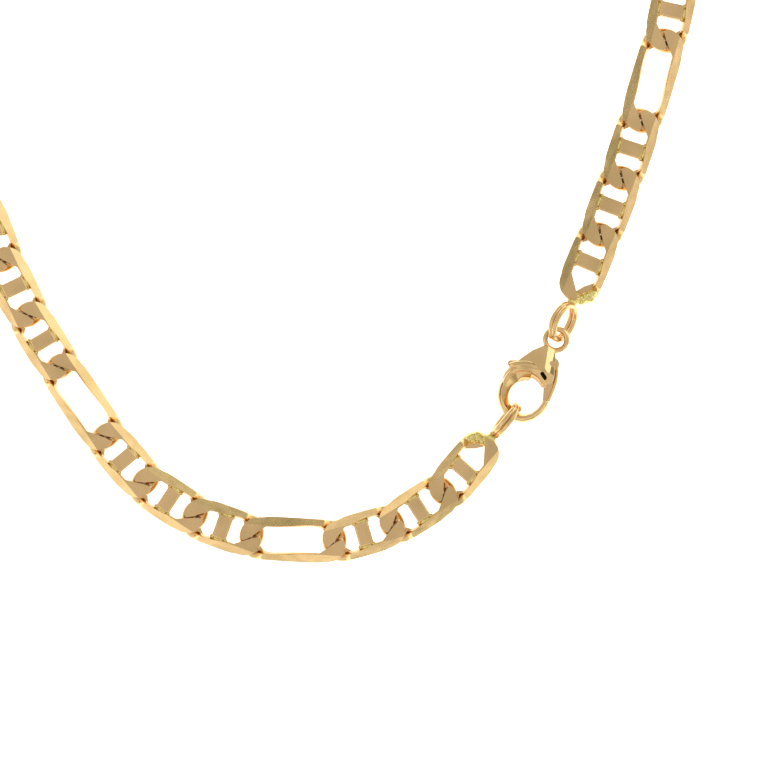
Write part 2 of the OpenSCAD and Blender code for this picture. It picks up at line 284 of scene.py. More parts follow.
def tube(line, across, up, sides, closed=True):
    """A tube along a list of points, with its half width at each of them and its half height."""
    bm = bmesh.new()
    n = len(line)
    rows = []
    for i, (p, w) in enumerate(zip(line, across)):
        before = line[i - 1] if closed or i else p
        after = line[(i + 1) % n] if closed or i < n - 1 else p
        ahead = (after - before).normalized()
        side = Vector((0, 0, 1)).cross(ahead).normalized()
        top = ahead.cross(side)
        rows.append([bm.verts.new(p + side * w * c + top * up * s) for c, s in circle(sides)])
    skin(bm, rows, closed)
    for f in bm.faces:
        f.smooth = True
    return bm


def grind(bm, point, normal):
    """Grinds a shape off along a plane and closes it with flat faces."""
    geom = bm.verts[:] + bm.edges[:] + bm.faces[:]
    cut = bmesh.ops.bisect_plane(bm, geom=geom, plane_co=point, plane_no=normal, clear_outer=True)
    edges = [e for e in cut["geom_cut"] if isinstance(e, bmesh.types.BMEdge) and e.is_boundary]
    made = bmesh.ops.holes_fill(bm, edges=edges, sides=0)
    for f in made["faces"]:
        f.smooth = False


def break_edges(bm, offset, angle, segments):
    """Breaks every edge sharper than the angle, and rounds it."""
    bmesh.ops.recalc_face_normals(bm, faces=bm.faces)
    sharp = [e for e in bm.edges if e.is_manifold and e.calc_face_angle(0) > math.radians(angle)]
    made = bmesh.ops.bevel(bm, geom=sharp, offset=offset, offset_type="OFFSET", segments=segments,
                           profile=0.5, affect="EDGES", clamp_overlap=True)
    for f in made["faces"]:
        f.smooth = True


# Links

# Corners round a bend, round the wire's section, and along a side at the least and for each mm
BEND_STEPS, WIRE_SIDES, SIDE_STEPS, SIDE_STEPS_A_MM = 20, 20, 8, 1.8
# Length of a bend's upper and lower half, its rise beyond what two crossing wires need, and how soon it is
# at its full rise
UPPER_BEND, LOWER_BEND, RISE_MORE, LIFT_RATE = 2.15, 1.65, 0.06, 1.5
# Shares of the wire's radius: outwards and inwards round a bend, above and below it, and how much less of
# that above its lower half
BEND_OUT, BEND_IN, FULL, LOW_LESS = 0.98, 0.97, 1.02, 0.04
# A side's inner edge from the link's middle line, how much nearer it comes, and how fast that sets in and
# the edge leaves the bend
INNER_EDGE, INNER_TAPER, TAPER_RATE, LEAVE_RATE = 1.82, 0.34, 1.2, 4
# How a side swells up to the ground face, and where its low half climbs past the neighbour's tip
SWELL, SWELL_POWER = 0.93, 0.7
CLIMB_FROM, CLIMB_LENGTH, CLIMB_TOP = 0.15, 0.8, 1.04
# How square the wire's section is: outside, inside, and how much rounder it is inside the low half
OUTER_POWER, INNER_POWER, LOW_POWER = 0.75, 0.78, 0.4
# The narrower slope below: its width from above, and which way it faces, outwards and up
UNDER_SLOPE, UNDER_OUT, UNDER_UP = 0.5, 0.6, -0.5
# Corners closer than this are merged, and edges sharper than this many degrees are broken
MERGE, THINNEST, SHARP = 0.012, 0.01, 26


def smooth_step(t):
    t = min(1.0, max(0.0, t))
    return t * t * (3 - 2 * t)


def wire_run(pitch):
    """A wire's radius, where its bends end, how far out its sides run and how far its bends rise."""
    chain = bpy.context.scene.chain_settings
    wire = chain.wire / MM
    reach = wire + chain.play / MM / 2
    return wire / 2, pitch / 2 + reach - wire / 2, chain.width / MM / 2 - wire / 2, reach / 2 + RISE_MORE


def bend_lift(share):
    """How far a bend is lifted, from 1 to -1, where it is this far across towards the upper side."""
    return math.copysign(math.sin(math.radians(90 * min(1.0, abs(share) * LIFT_RATE))), share)


def link_stations(pitch):
    """Sections along a link's wire: middle, outward direction, reach outward and inward, height above and
    below the middle, and how far each lies on the link's upper or lower face, from 1 to -1."""
    wire_r, half, side_y, rise = wire_run(pitch)
    swell = bpy.context.scene.chain_settings.thickness / MM / 2 * SWELL - wire_r
    at_low = side_y - wire_r * BEND_IN
    steps = max(SIDE_STEPS, int(pitch * SIDE_STEPS_A_MM))
    start, stop = half - LOWER_BEND, UPPER_BEND - half
    stations = []
    for end in (1, -1):
        # round the bend, from the upper face to the lower face
        for k in range(BEND_STEPS + 1):
            a = math.radians(-90 + 180 * k / BEND_STEPS)
            share = -math.sin(a)
            bend = UPPER_BEND if share > 0 else LOWER_BEND
            lift = bend_lift(share)
            middle = Vector((end * (half - bend + bend * math.cos(a)), -end * side_y * share, rise * lift))
            out = end * Vector((side_y * math.cos(a), bend * math.sin(a))).normalized()
            above = wire_r * (FULL - LOW_LESS * smooth_step(-lift))
            stations.append((middle, out, wire_r * BEND_OUT, wire_r * BEND_IN, above, wire_r * FULL, lift))
        # along the side that follows, from the lower face up to the other end's upper face
        for k in range(1, steps):
            t = k / steps
            lift = 2 * t - 1
            middle = Vector((end * (start + (stop - start) * t), end * side_y, rise * lift))
            inner = INNER_EDGE - INNER_TAPER * smooth_step(t * TAPER_RATE)
            inner = at_low + (inner - at_low) * smooth_step(t * LEAVE_RATE)
            tall = wire_r * FULL + swell * math.sin(math.pi * t) ** SWELL_POWER
            # past the neighbour's tip the low half climbs steeply, so that the sloping face reaches it
            climb = smooth_step(((start - stop) * t - CLIMB_FROM) / CLIMB_LENGTH)
            above = wire_r + (max(tall, CLIMB_TOP - rise * lift) - wire_r) * climb
            stations.append((middle, Vector((0, end)), wire_r * FULL, side_y - inner, above, tall, lift))
    return stations


# Outline of the flat at a link's upper end: x outwards from the crossing, y towards the upper side
FLAT_TIP = [
    (0.48, -0.16), (0.84, -0.36), (1.10, -0.36), (1.29, -0.16), (1.39, 0.22), (1.37, 0.66), (1.24, 1.08),
    (1.01, 1.42), (0.72, 1.68), (0.30, 1.93), (-0.30, 2.20), (-0.90, 2.46), (-1.45, 2.64), (-2.20, 2.79),
    (-2.90, 2.84),
]
# Room that the neighbour leaves round it
TIP_ROOM = [
    (1.53, 0.7), (1.38, 1.18), (1.13, 1.54), (0.84, 1.80), (0.46, 2.06), (0.1, 2.26), (-0.5, 2.56),
    (-1.2, 2.86), (-2.6, 3.15),
]
# Where on the slit the flat's outline starts, on the upper face and on the lower one with a corner before
# it, and where the room's outline starts and turns
TIP_START, LOWER_CORNER, LOWER_START, ROOM_START, ROOM_TURN = -1.9, (-1.8, 1.72), -0.9, -2.6, 1.53
TIP_HEIGHTS, ROOM_HEIGHTS = (0.22, 1.6), (0.12, 2.0)
# The slit's width on the lower face, as a share of that on the upper one
LOWER_GAP = 0.06
# The groove below the slit: half its length, half its width, and the heights of its top and its floor
GROOVE_REACH, GROOVE_HALF, GROOVE_TOP, GROOVE_FLOOR = 0.72, 0.13, 0.9, -0.55


def on_slit(x, gap):
    """The point of the slit's edge at x."""
    slope = math.tan(bpy.context.scene.chain_settings.slit)
    return x, -slope * x + gap * math.hypot(1, slope)


def tip_prism(pitch, end, gap, face, other):
    """The room that a link's tip takes on its upper face, or with face -1 on its lower one. With other it is
    the room that the neighbour's tip takes."""
    if other:
        flip, heights = -1, ROOM_HEIGHTS
        outline = [on_slit(ROOM_START, gap), on_slit(ROOM_TURN, gap)] + TIP_ROOM
    else:
        flip, heights = 1, TIP_HEIGHTS
        start = [on_slit(TIP_START, gap)] if face > 0 else [LOWER_CORNER, on_slit(LOWER_START, gap)]
        outline = start + [on_slit(0.0, gap)] + FLAT_TIP
    low, high = sorted(face * z for z in heights)
    return prism([(end * (pitch / 2 + flip * x), -end * flip * face * y) for x, y in outline], low, high)


def slit_groove(pitch, end):
    """A narrow groove that goes on down below the slit, so that it looks dark from above."""
    along = turned(Vector((1, 0)), -math.degrees(bpy.context.scene.chain_settings.slit))
    across = turned(along, 90) * GROOVE_HALF
    bm = bmesh.new()
    rows = []
    for far in (-GROOVE_REACH, GROOVE_REACH):
        p = far * along
        corners = [(p + across, GROOVE_TOP), (p - across, GROOVE_TOP), (p, GROOVE_FLOOR)]
        rows.append([bm.verts.new((end * (pitch / 2 + c.x), end * -c.y, z)) for c, z in corners])
    skin(bm, rows)
    for f in bm.faces:
        f.smooth = False
    return bm


def link_shape(pitch, barred):
    """The mesh of one link about the origin, x along the chain."""
    chain = bpy.context.scene.chain_settings
    side, top, tilt = chain.width / MM / 2, chain.thickness / MM / 2, chain.bevel_tilt
    bm = bmesh.new()
    rows = []
    for middle, out, outward, inward, above, below, lift in link_stations(pitch):
        row = []
        low = smooth_step(0.5 - 0.8 * lift)
        for c, s in circle(WIRE_SIDES, 0.5):
            power = OUTER_POWER if c > 0 else INNER_POWER + LOW_POWER * low
            w = math.copysign(abs(c) ** power, c) * (outward if c > 0 else inward)
            h = math.copysign(abs(s) ** power, s) * (above if s > 0 else below)
            row.append(bm.verts.new((middle.x + out.x * w, middle.y + out.y * w, middle.z + h)))
        rows.append(row)
    skin(bm, rows, closed=True)
    gap = chain.slit_gap / MM / 2
    tips = [(end, face, gap * share) for end in (1, -1) for face, share in ((1, 1), (-1, LOWER_GAP))]
    flats = [shape_object(tip_prism(pitch, end, g, face, False), "tip") for end, face, g in tips]
    whole = new_object("wire", joined(shape_object(bm, "wire"), flats, "UNION"))
    rooms = [shape_object(tip_prism(pitch, end, -g, face, True), "room") for end, face, g in tips]
    rooms += [shape_object(slit_groove(pitch, end), "groove") for end in (1, -1)]
    mesh = joined(whole, rooms, "DIFFERENCE")
    bm = bmesh.new()
    bm.from_mesh(mesh)
    grind(bm, (0, 0, top), (0, 0, 1))
    grind(bm, (0, 0, -top), (0, 0, -1))
    for t in (1, -1):
        grind(bm, (0, t * (side - chain.bevel / MM), top), Vector((0, t * math.sin(tilt), math.cos(tilt))))
        grind(bm, (0, t * (side - UNDER_SLOPE), -top), Vector((0, t * UNDER_OUT, UNDER_UP)).normalized())
        grind(bm, (0, t * side, 0), (0, t, 0))
    bmesh.ops.remove_doubles(bm, verts=bm.verts, dist=MERGE)
    bmesh.ops.dissolve_degenerate(bm, edges=bm.edges, dist=THINNEST)
    break_edges(bm, chain.edge / MM, SHARP, 1)
    for v in bm.verts:
        # a broken edge's corners can stand past the ground faces by a few thousandths of a mm
        v.co.z = min(top, max(-top, v.co.z))
    bm.verts.layers.float.new("solder")
    if barred:
        add_bar(bm, chain.bar / MM, chain.bar_reach / MM, 2 * top)
    return mesh_from(bm, "link")


# A bar's rounding at its corners and round its faces, and its height as a share of the chain's thickness
BAR_CORNER, BAR_RIM, BAR_HEIGHT = 0.22, 0.18, 0.975
# The seam of solder at a bar's end: how far past the bar and how high it lies, and its half sizes, the
# first as a share of the bar's width
SEAM_PAST, SEAM_Z, SEAM_SIZE = 0.12, 0.4, (0.56, 0.34, 0.68)
# The lumps at a bar's corners: least size and how much it varies, height and how much that varies, how much
# taller than wide, and how far along the bar's width
CORNER_SIZE, CORNER_Z, CORNER_TALL, CORNER_SHARE = (0.28, 0.06), (0.45, 0.1), 1.9, 0.47


def add_bar(bm, bar, reach, thick):
    """The bar across a link, with rounded corners, and the solder that holds it at both ends."""
    part = bmesh.new()
    bmesh.ops.create_cube(part, size=1)
    for v in part.verts:
        v.co = Vector((v.co.x * bar, v.co.y * 2 * reach, v.co.z * thick * BAR_HEIGHT))
    upright = [e for e in part.edges if not level(e)]
    bmesh.ops.bevel(part, geom=upright, offset=BAR_CORNER, segments=3, profile=0.5, affect="EDGES")
    rim = [e for e in part.edges if level(e)]
    bmesh.ops.bevel(part, geom=rim, offset=BAR_RIM, segments=3, profile=0.5, affect="EDGES")
    for f in part.faces:
        f.smooth = abs(f.normal.z) < 0.999
    part.verts.layers.float.new("solder")
    copy_into(bm, part)
    rng = random.Random(5)
    for end in (1, -1):
        wide, deep, tall = SEAM_SIZE
        add_lump(bm, Vector((0, end * (reach + SEAM_PAST), SEAM_Z)), Vector((bar * wide, deep, tall)), end, 2)
        for side in (1, -1):
            size = CORNER_SIZE[0] + CORNER_SIZE[1] * rng.random()
            z = CORNER_Z[0] + CORNER_Z[1] * rng.random()
            add_lump(bm, Vector((side * bar * CORNER_SHARE, end * reach, z)),
                     Vector((size, size, size * CORNER_TALL)), side * 2.3 + end, 1)


def level(edge):
    """Whether an edge runs level."""
    return abs(edge.verts[0].co.z - edge.verts[1].co.z) < 0.01


def add_lump(bm, at, size, seed, levels):
    """One lump of solder, uneven where it ran and set."""
    uneven, how_often = 0.1, 1.1
    lump = bmesh.new()
    bmesh.ops.create_icosphere(lump, subdivisions=levels, radius=1)
    layer = lump.verts.layers.float.new("solder")
    for v in lump.verts:
        v.co *= 1 + uneven * noise(v.co * how_often + Vector((seed, 1, 4)))
        v.co = Vector([c * wide for c, wide in zip(v.co, size)]) + at
        v[layer] = 1.0
    for f in lump.faces:
        f.smooth = True
    copy_into(bm, lump)


def copy_into(bm, part):
    """Adds a part's faces to a shape and frees the part."""
    mesh = bpy.data.meshes.new("part")
    part.to_mesh(mesh)
    part.free()
    bm.from_mesh(mesh)
    bpy.data.meshes.remove(mesh)


# Nodes that place the links


def add_node(tree, kind, settings=None, inputs=None):
    """Adds one node with its settings, its input values and its input links."""
    node = tree.nodes.new(kind)
    for key, value in (settings or {}).items():
        setattr(node, key, value)
    for key, value in (inputs or {}).items():
        if isinstance(value, bpy.types.NodeSocket):
            tree.links.new(value, node.inputs[key])
        else:
            node.inputs[key].default_value = value
    return node


def placing_tree():
    """Puts one link on each point of the route, turned to its heading."""
    tree = bpy.data.node_groups.new("Links along the route", "GeometryNodeTree")
    face = tree.interface
    face.new_socket("Route", in_out="INPUT", socket_type="NodeSocketGeometry")
    face.new_socket("Link", in_out="INPUT", socket_type="NodeSocketObject")
    face.new_socket("Height", in_out="INPUT", socket_type="NodeSocketFloat")
    face.new_socket("Gold", in_out="INPUT", socket_type="NodeSocketMaterial")
    face.new_socket("Chain", in_out="OUTPUT", socket_type="NodeSocketGeometry")
    source = add_node(tree, "NodeGroupInput")
    turn = add_node(tree, "GeometryNodeInputNamedAttribute", {"data_type": "FLOAT"}, {"Name": "heading"})
    euler = add_node(tree, "ShaderNodeCombineXYZ", None, {"Z": turn.outputs["Attribute"]})
    rotation = add_node(tree, "FunctionNodeEulerToRotation", None, {0: euler.outputs[0]})
    lift = add_node(tree, "ShaderNodeCombineXYZ", None, {"Z": source.outputs["Height"]})
    placed = add_node(tree, "GeometryNodeSetPosition", None,
                      {"Geometry": source.outputs["Route"], "Offset": lift.outputs[0]})
    link = add_node(tree, "GeometryNodeObjectInfo", {"transform_space": "ORIGINAL"},
                    {"Object": source.outputs["Link"], "As Instance": True})
    spread = add_node(tree, "GeometryNodeInstanceOnPoints", None,
                      {"Points": placed.outputs[0], "Instance": link.outputs["Geometry"],
                       "Rotation": rotation.outputs[0]})
    real = add_node(tree, "GeometryNodeRealizeInstances", None, {"Geometry": spread.outputs[0]})
    gilt = add_node(tree, "GeometryNodeSetMaterial", None,
                    {"Geometry": real.outputs[0], "Material": source.outputs["Gold"]})
    add_node(tree, "NodeGroupOutput", None, {"Chain": gilt.outputs[0]})
    return tree


def link_run(name, link_mesh, places, height, material):
    """Makes one plain mesh of a link repeated at each of the places."""
    mesh = bpy.data.meshes.new(name)
    mesh.from_pydata([(p.x * MM, p.y * MM, 0) for p, _ in places], [], [])
    turns = mesh.attributes.new("heading", "FLOAT", "POINT")
    for i, (_, a) in enumerate(places):
        turns.data[i].value = math.radians(a)
    route = new_object(name + "_route", mesh)
    link = new_object(name + "_link", link_mesh)
    tree = placing_tree()
    keys = {item.name: item.identifier for item in tree.interface.items_tree if item.in_out == "INPUT"}
    modifier = route.modifiers.new("Links", "NODES")
    modifier.node_group = tree
    modifier[keys["Link"]] = link
    modifier[keys["Height"]] = height
    modifier[keys["Gold"]] = material
    depsgraph = bpy.context.evaluated_depsgraph_get()
    made = bpy.data.meshes.new_from_object(route.evaluated_get(depsgraph))
    made.name = name
    route.modifiers.remove(modifier)
    bpy.data.objects.remove(route)
    bpy.data.objects.remove(link)
    if not made.polygons:
        raise RuntimeError(name + ": the route gave no links")
    return new_object(name, made)


# Rings and solder

# Steps along a double ring's wire and round it, where in degrees it starts, and over which share of its
# turns it crosses from one turn to the other
RING_STEPS, RING_SIDES, RING_START, CROSS_FROM, CROSS_LENGTH = 144, 18, 150, 0.86, 0.28
# Shares of the wire's and the ring's radius, so that the ring stays inside the solid ring
WIRE_FIT, RING_FIT, TURN_FIT = 0.97, 0.995, 0.94


def ring_shape(bm, at, turn, tilt):
    """A ring of two turns of wire, standing on its rim and leaning over by the tilt."""
    rings = bpy.context.scene.ring_settings
    wire_r = rings.wire / MM / 2 * WIRE_FIT
    ring_r = (rings.diameter - rings.wire) / MM / 2 * RING_FIT
    offset = wire_r * TURN_FIT
    height = ring_r * math.sin(tilt) + offset * math.cos(tilt) + wire_r
    place = (Matrix.Translation((at.x, at.y, height)) @ Matrix.Rotation(math.radians(turn), 4, "Z")
             @ Matrix.Rotation(tilt, 4, "X"))
    line = []
    for i in range(RING_STEPS + 1):
        t = 2 * i / RING_STEPS
        p = ring_r * heading(360 * t + RING_START)
        line.append(Vector((p.x, p.y, offset * (2 * smooth_step((t - CROSS_FROM) / CROSS_LENGTH) - 1))))
    part = bmesh.new()
    rows = []
    for i, p in enumerate(line):
        ahead = (line[min(RING_STEPS, i + 1)] - line[max(0, i - 1)]).normalized()
        out = Vector((p.x, p.y, 0)).normalized()
        top = ahead.cross(out).normalized()
        rows.append([part.verts.new(p + wire_r * (out * c + top * s)) for c, s in circle(RING_SIDES)])
    skin(part, rows)
    bmesh.ops.recalc_face_normals(part, faces=part.faces)
    bmesh.ops.transform(part, matrix=place, verts=part.verts)
    copy_into(bm, part)


# The solder of an end link: how many lumps, from which angle of the bend over how many degrees, how far they
# are strewn, how high they lie, and the least size and how much it varies, in shares of a lump
SOLDER_LUMPS, SOLDER_FROM, SOLDER_SPAN = 26, -6, 84
STREWN, STREWN_Z, SOLDER_Z, SOLDER_SIZE = 0.24, (-0.08, 0.12), 0.2, (0.75, 0.3)
# The heap against the ring, three by three: steps outwards, across and up, where it starts, how far its lumps
# are strewn, and their size
HEAP_OUT, HEAP_ACROSS, HEAP_UP, HEAP_NARROWER = 0.24, 0.34, 0.24, 0.12
HEAP_START, HEAP_Z, HEAP_STREWN, HEAP_STREWN_Z, HEAP_SIZE = 0.3, 0.42, 0.08, 0.06, (0.7, 0.2)


def strewn(rng, flat, low, high):
    """A small random step."""
    return Vector((rng.uniform(-flat, flat), rng.uniform(-flat, flat), rng.uniform(low, high)))


def end_link_shape(i, route, outer, at, turn, tilt):
    """An end link with lumps of solder along its outer bend, and the ring that they hold."""
    chain, rings = bpy.context.scene.chain_settings, bpy.context.scene.ring_settings
    bm = bmesh.new()
    bm.from_mesh(link_shape(chain.short_pitch / MM, True))
    bmesh.ops.transform(bm, matrix=Matrix.Scale(1 / MM, 4), verts=bm.verts)
    _, half, side_y, rise = wire_run(chain.short_pitch / MM)
    lump = rings.lump / MM
    rng = random.Random(11)
    for k in range(SOLDER_LUMPS):
        a = math.radians(SOLDER_FROM + SOLDER_SPAN * k / (SOLDER_LUMPS - 1))
        share = math.sin(a)
        p = Vector((outer * (half - LOWER_BEND + LOWER_BEND * math.cos(a)), outer * side_y * share,
                    -rise * bend_lift(share) / 2 + SOLDER_Z))
        p += strewn(rng, STREWN, *STREWN_Z)
        size = lump * (SOLDER_SIZE[0] + SOLDER_SIZE[1] * rng.random())
        add_lump(bm, p, Vector((size, size, size)), k * 1.7, 2)
    for k in range(9):
        step, row = k % 3, k // 3 - 1
        p = Vector((outer * (half + HEAP_START + HEAP_OUT * step),
                    row * HEAP_ACROSS * (1 - HEAP_NARROWER * step), HEAP_Z + HEAP_UP * step))
        p += strewn(rng, HEAP_STREWN, -HEAP_STREWN_Z, HEAP_STREWN_Z)
        size = lump * (HEAP_SIZE[0] + HEAP_SIZE[1] * rng.random())
        add_lump(bm, p, Vector((size, size, size)), k * 2.9, 2)
    m = route["middles"][i]
    bmesh.ops.transform(bm, matrix=Matrix.Translation((m.x, m.y, chain.thickness / MM / 2))
                        @ Matrix.Rotation(math.radians(route["dirs"][i]), 4, "Z"), verts=bm.verts)
    ring_shape(bm, at, turn, tilt)
    return mesh_from(bm, "end_link")


# The clasp


def clasp_matrix(route):
    z = bpy.context.scene.clasp_settings.height / MM
    return (Matrix.Translation((route["eye"].x, route["eye"].y, z))
            @ Matrix.Rotation(math.radians(route["turn"]), 4, "Z"))


def joined(target, tools, operation):
    """Applies a boolean of several closed shapes to the target, and returns its new mesh."""
    for tool in tools:
        cut = target.modifiers.new("Cut", "BOOLEAN")
        cut.operation = operation
        cut.solver = "MANIFOLD"
        cut.object = tool
    depsgraph = bpy.context.evaluated_depsgraph_get()
    mesh = bpy.data.meshes.new_from_object(target.evaluated_get(depsgraph))
    for tool in tools:
        bpy.data.objects.remove(tool)
    bpy.data.objects.remove(target)
    return mesh


def shape_object(bm, name):
    """Makes an object of a closed shape, for a boolean."""
    bmesh.ops.recalc_face_normals(bm, faces=bm.faces)
    mesh = bpy.data.meshes.new(name)
    bm.to_mesh(mesh)
    bm.free()
    return new_object(name, mesh)


def prism(points, low, high):
    """An outline drawn out between two heights."""
    bm = bmesh.new()
    bottom = [bm.verts.new((p[0], p[1], low)) for p in points]
    top = [bm.verts.new((p[0], p[1], high)) for p in points]
    bm.faces.new(bottom)
    bm.faces.new(top)
    n = len(points)
    for i in range(n):
        j = (i + 1) % n
        bm.faces.new((bottom[i], bottom[j], top[j], top[i]))
    return bm


def arc(center, radius, start, stop, steps):
    """Points along an arc, between two directions."""
    return [center + radius * heading(start + (stop - start) * i / steps) for i in range(steps + 1)]


def disc(name, radius, half, steps):
    """A round plate on the lever's pin, or a cutter that is higher than the clasp."""
    return shape_object(prism(arc(PIVOT, radius, 0, 360, steps)[:-1], -half, half), name)


def gate_radius():
    """From the lever's pin to where the bow ends and the gate begins."""
    clasp = bpy.context.scene.clasp_settings
    return (BOW_CENTER + (clasp.bow - clasp.band) / MM / 2 * heading(BOW_TIP_DIR) - PIVOT).length


# Outline of the shield, in the clasp's own frame
SHIELD_OUTLINE = [
    (-0.62, -1.12), (-1.28, -1.34), (-2.30, -2.30), (-3.24, -3.66), (-3.72, -4.46), (-4.28, -5.30),
    (-4.60, -6.20), (-4.66, -7.10), (-3.40, -7.70), (-1.00, -7.00), (0.55, -6.50), (0.80, -6.04),
    (1.10, -5.76), (1.38, -5.42), (1.54, -4.92), (1.40, -4.20), (1.14, -3.50), (0.86, -2.50), (0.44, -1.34),
]
# Facets of its front: a point on each, its height there, and how fast it climbs along x and y
SHIELD_FACETS = [
    (-0.18, -3.64, 1.62, 0.21, -0.23), (-0.18, -3.64, 1.62, -0.30, -0.33),
    (0.36, -1.47, 0.742, -0.55, -0.361), (-1.00, -4.90, 1.42, 0.06, 0.55), (0.90, -5.80, 1.00, -0.35, 0.35),
]
# Raised bands: x, y, half width, height of the top. The shoulder runs in from the thumb nub, and the
# crescent runs from the bow's left arm over the opening.
SHOULDER_BAND = [
    (-4.30, -5.14, 0.34, 1.06), (-4.02, -5.04, 0.46, 1.20), (-3.35, -4.66, 0.45, 1.32),
    (-2.65, -4.33, 0.43, 1.41), (-2.00, -4.16, 0.38, 1.50), (-1.42, -4.18, 0.30, 1.58),
    (-0.95, -4.40, 0.18, 1.63), (-0.60, -4.68, 0.06, 1.58),
]
CRESCENT_BAND = [
    (-4.20, -7.60, 0.26, 0.86), (-4.18, -6.90, 0.30, 0.93), (-3.98, -6.20, 0.34, 1.00),
    (-3.58, -5.62, 0.38, 1.12), (-2.95, -5.16, 0.40, 1.30), (-2.20, -4.92, 0.36, 1.45),
    (-1.45, -4.92, 0.33, 1.50), (-0.75, -5.22, 0.31, 1.42), (0.00, -5.60, 0.29, 1.22),
    (0.62, -5.95, 0.23, 1.00), (1.00, -6.20, 0.12, 0.82),
]
# Outer radius of the bow by direction from its middle
BOW_EDGE = [
    (118, 3.66), (150, 3.66), (168, 3.62), (196, 3.53), (228, 3.50), (250, 3.50), (280, 3.42), (305, 3.26),
    (326, 3.14), (345, 3.16), (357, 3.22), (376, 3.26),
]
HOLE_AT, HOLE_R = Vector((-1.0, -8.3)), 2.13
# The bow's band runs between these directions, and meets the gate at this one
BOW_FROM, BOW_TO, BOW_STEPS, BOW_TIP_DIR = 122, 374, 126, 8
# The window: its place, turn, half length and radius, how deep it goes into the slot's far wall, and the
# radius and the height within which painted shade darkens it
WINDOW_AT, WINDOW_TURN, WINDOW_HALF, WINDOW_R = Vector((0.14, -4.93)), -36, 0.35, 0.25
WINDOW_DEEPER, WINDOW_SHADE_R, WINDOW_SHADE_Z = 0.25, 0.75, 0.95
# A cutter's half height, a band's depth and corners round it, and half the gap where the lever moves
THROUGH, BAND_DEPTH, BAND_SIDES, PLAY = 3, 0.42, 20, 0.1
# The lever's arm: direction, length and half width, then the radius of its hub, its bore and the hub's room
ARM_DIR, ARM_LENGTH, ARM_HALF, HUB_R, BORE_R, HUB_ROOM = 200, 5.3, 0.425, 0.88, 0.43, 1.4


def table_value(rows, at):
    """Reads a table of rising first values, smoothly between its rows."""
    for a, b in zip(rows, rows[1:]):
        if at <= b[0]:
            t = smooth_step((at - a[0]) / (b[0] - a[0]))
            return a[1] + (b[1] - a[1]) * t
    return rows[-1][1]


def flow(rows):
    """More rows between the given ones, along a smooth curve."""
    made, steps = [], 6
    for i in range(len(rows) - 1):
        p0, p1, p2, p3 = rows[max(0, i - 1)], rows[i], rows[i + 1], rows[min(len(rows) - 1, i + 2)]
        for k in range(steps):
            t = k / steps
            made.append(tuple(0.5 * (2 * b + (c - a) * t + (2 * a - 5 * b + 4 * c - d) * t * t
                                     + (3 * b - a - 3 * c + d) * t ** 3)
                              for a, b, c, d in zip(p0, p1, p2, p3)))
    made.append(rows[-1])
    return made


def band_object(rows, face, depth=BAND_DEPTH):
    """A raised band with a rounded top on the front, or with face -1 on the back."""
    rows = flow(rows)
    line = [Vector((x, y, face * (top - depth))) for x, y, _, top in rows]
    return shape_object(tube(line, [w for _, _, w, _ in rows], depth, BAND_SIDES, closed=False), "band")


def shield_shape():
    """The shield: its outline, ground to its facets on the front and the back."""
    clasp = bpy.context.scene.clasp_settings
    half = clasp.shield / MM / 2
    bm = prism(SHIELD_OUTLINE, -half, half)
    bmesh.ops.recalc_face_normals(bm, faces=bm.faces)
    for x, y, z, along_x, along_y in SHIELD_FACETS:
        for face in (1, -1):
            grind(bm, (x, y, face * z), Vector((-along_x, -along_y, face)).normalized())
    bmesh.ops.dissolve_limit(bm, angle_limit=math.radians(2), verts=bm.verts, edges=bm.edges)
    break_edges(bm, 0.08, 14, 3)
    return bm


def flare_shape():
    """The opening's room: straight at the middle plane, wider towards the front and the back."""
    front, shift, wider, power = 1.25, Vector((-0.45, 0.05)), 0.92, 1.3
    bm = bmesh.new()
    rows = []
    for z in (-2.2, -front, -0.6, 0.0, 0.6, front, 2.2):
        t = abs(z) / front
        center = HOLE_AT + shift * min(1.0, t)
        radius = HOLE_R + wider * t ** power
        rows.append([bm.verts.new((center.x + radius * c, center.y + radius * s, z)) for c, s in circle(96)])
    skin(bm, rows)
    return bm


def bow_shape():
    """The bow's band: outside it is rounded, along its crest it is sharper, inside it slopes to the hole."""
    half_h = bpy.context.scene.clasp_settings.band_depth / MM / 2
    bm = bmesh.new()
    rows = []
    for i in range(BOW_STEPS + 1):
        a = BOW_FROM + (BOW_TO - BOW_FROM) * i / BOW_STEPS
        out = heading(a)
        outer = table_value(BOW_EDGE, a)
        inner = HOLE_R + (HOLE_AT - BOW_CENTER).dot(out)
        # the crest lies further in on the right, and each corner is a radius with its height
        crest = outer - 0.52 - 0.2 * smooth_step((a - 200) / 90)
        upper = [(outer, 0.0), (outer - 0.015, 0.22), (outer - 0.06, 0.42), (outer - 0.15, 0.6)]
        upper += [(outer - 0.28, 0.73), (outer - 0.42, 0.81), (crest + 0.03, half_h)]
        upper += [(crest - 0.05, half_h - 0.01), (crest - 0.12, half_h - 0.07), (crest - 0.18, half_h - 0.17)]
        upper += [(inner + 0.16, 0.34), (inner + 0.05, 0.14), (inner, 0.0)]
        section = upper + [(r, -z) for r, z in reversed(upper[1:-1])]
        rows.append([bm.verts.new((*(BOW_CENTER + out * r), z)) for r, z in section])
    skin(bm, rows)
    room = 0.012
    gate = disc("gate_room", gate_radius() + room, THROUGH, 180)
    return joined(shape_object(bm, "band"), [gate], "DIFFERENCE")


def torus(radius, wire):
    """A ring of round wire, for the eye."""
    line = [radius * Vector((c, s, 0)) for c, s in circle(72)]
    return tube(line, [wire / 2] * len(line), wire / 2, 20)


def beside(a, along, side):
    """A point this far from the pin along a direction, and this far to its left."""
    return PIVOT + along * heading(a) + side * heading(a + 90)


